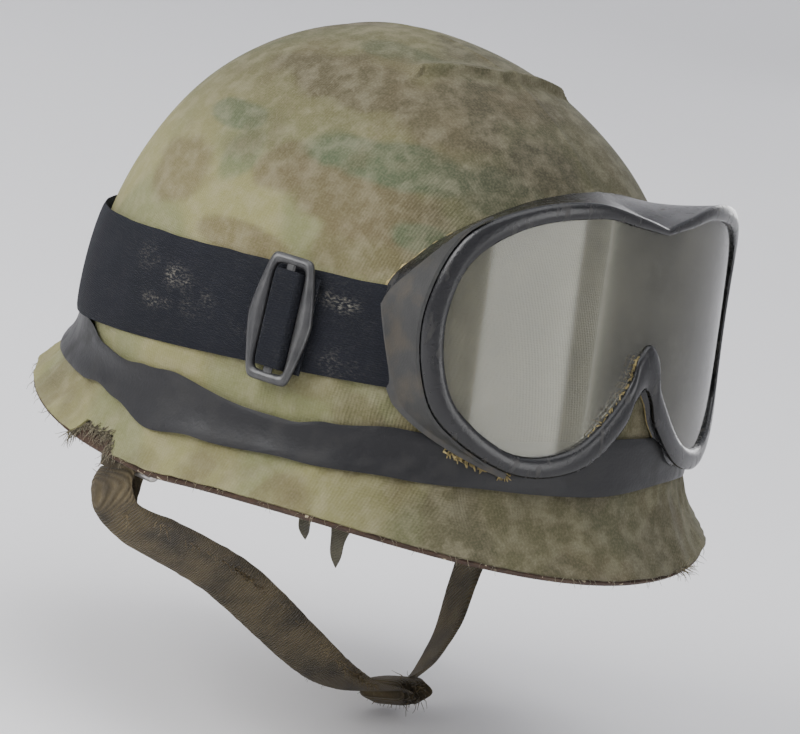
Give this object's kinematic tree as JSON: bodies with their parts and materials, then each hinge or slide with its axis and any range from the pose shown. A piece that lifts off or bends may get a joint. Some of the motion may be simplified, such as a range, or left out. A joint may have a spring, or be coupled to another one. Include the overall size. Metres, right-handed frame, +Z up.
{
  "type": "combat helmet with goggles",
  "caption": "Cloth-covered steel combat helmet with flared rim, rubber band, hanging chin strap and wrap-around dust goggles on an elastic strap.",
  "frame": {"origin": "middle of the head opening, at the height of the lowest side rim", "axes": "+Z up through the crown, the helmet's front faces -Y, the wearer's right is -X"},
  "size_m": [0.243, 0.2878, 0.2784],
  "materials": {
    "shell_paint": "worn matte olive paint with rust",
    "rim_steel": "rusted brown paint",
    "cover_cloth": "faded camouflage twill",
    "flap_cloth": "faded camouflage twill",
    "band_rubber": "satin black rubber",
    "frame_plastic": "satin black",
    "lens_plastic": "clear, lightly hazed",
    "goggle_plate": "dull, scratched moulded plastic",
    "seal_foam": "aged crumbling foam",
    "elastic": "blue-black woven elastic",
    "buckle_metal": "black finish worn to grey",
    "lug_steel": "olive paint",
    "bale_wire": "bare wire",
    "webbing": "olive-brown cotton webbing",
    "liner_laminate": "olive laminate",
    "liner_web": "khaki herringbone webbing",
    "rivet_steel": "dark olive enamel",
    "washer_steel": "black enamel",
    "sweatband": "brown leather",
    "clip_brass": "dull brass"
  },
  "bodies": {
    "helmet": {"steel_shell": "shell_paint", "rim_strip": "rim_steel", "camo_cover": "cover_cloth", "cover_tuck_flaps": "flap_cloth", "loose_cover_flaps": "flap_cloth", "rubber_band": "band_rubber", "right_bale_lug": "lug_steel", "left_bale_lug": "lug_steel", "liner_shell": "liner_laminate", "suspension_band": "liner_web", "crown_strap_fore": "liner_web", "crown_strap_cross": "liner_web", "crown_strap_aft": "liner_web", "suspension_rivets": "rivet_steel", "a_washers": "washer_steel", "headband": "sweatband", "headband_clips": "clip_brass", "nape_strap": "liner_web", "liner_eyelet": "clip_brass", "headband_buckle": "washer_steel", "nape_studs": "rivet_steel"},
    "goggle_loop": {"elastic_strap": "elastic"},
    "goggles": {"goggle_frame": "frame_plastic", "goggle_lens": "lens_plastic", "goggle_foam": "seal_foam", "right_strap_wing": "goggle_plate", "left_strap_wing": "goggle_plate"},
    "strap_slide": {"slide_buckle": "buckle_metal", "strap_pleat": "elastic"},
    "right_bale_loop": {"right_bale": "bale_wire"},
    "left_bale_loop": {"left_bale": "bale_wire"},
    "strap_carrier": {"right_strap_end": "webbing", "left_strap_end": "webbing"},
    "chin_strap": {"right_chin_strap": "webbing", "left_chin_strap": "webbing", "strap_knot": "webbing"}
  },
  "joints": [
    {"name": "goggle_lift", "type": "hinge", "parent": "helmet", "child": "goggle_loop", "pos_m": [0, 0.003, 0.037], "axis": [-1, 0, 0], "range_deg": [-2, 14], "deforming": ["elastic_strap"]},
    {"name": "goggle_pull", "type": "slide", "parent": "goggle_loop", "child": "goggles", "axis": [0, -1, 0], "range_m": [0, 0.04], "deforming": ["elastic_strap", "goggle_foam"]},
    {"name": "buckle_shift", "type": "hinge", "parent": "goggle_loop", "child": "strap_slide", "pos_m": [0.03113, 0.00003, 0.07], "axis": [0, 0, 1], "range_deg": [-5, 5]},
    {"name": "right_bale_swing", "type": "hinge", "parent": "helmet", "child": "right_bale_loop", "pos_m": [-0.1095, 0.0195, 0.006], "axis": [0, 1, 0], "range_deg": [-15, 15]},
    {"name": "left_bale_swing", "type": "hinge", "parent": "helmet", "child": "left_bale_loop", "pos_m": [0.1095, 0.0195, 0.006], "axis": [0, 1, 0], "range_deg": [-15, 15]},
    {"name": "strap_level", "type": "hinge", "parent": "right_bale_loop", "child": "strap_carrier", "pos_m": [-0.1095, 0.0195, -0.006], "axis": [0, 1, 0], "range_deg": [-15, 15]},
    {"name": "chin_strap_swing", "type": "hinge", "parent": "strap_carrier", "child": "chin_strap", "pos_m": [0, 0.0195, -0.006], "axis": [1, 0, 0], "range_deg": [-48, 60]}
  ],
  "couplings": [
    {"joint": "left_bale_swing", "follows": "right_bale_swing", "ratio": 1},
    {"joint": "strap_level", "follows": "right_bale_swing", "ratio": -1}
  ]
}
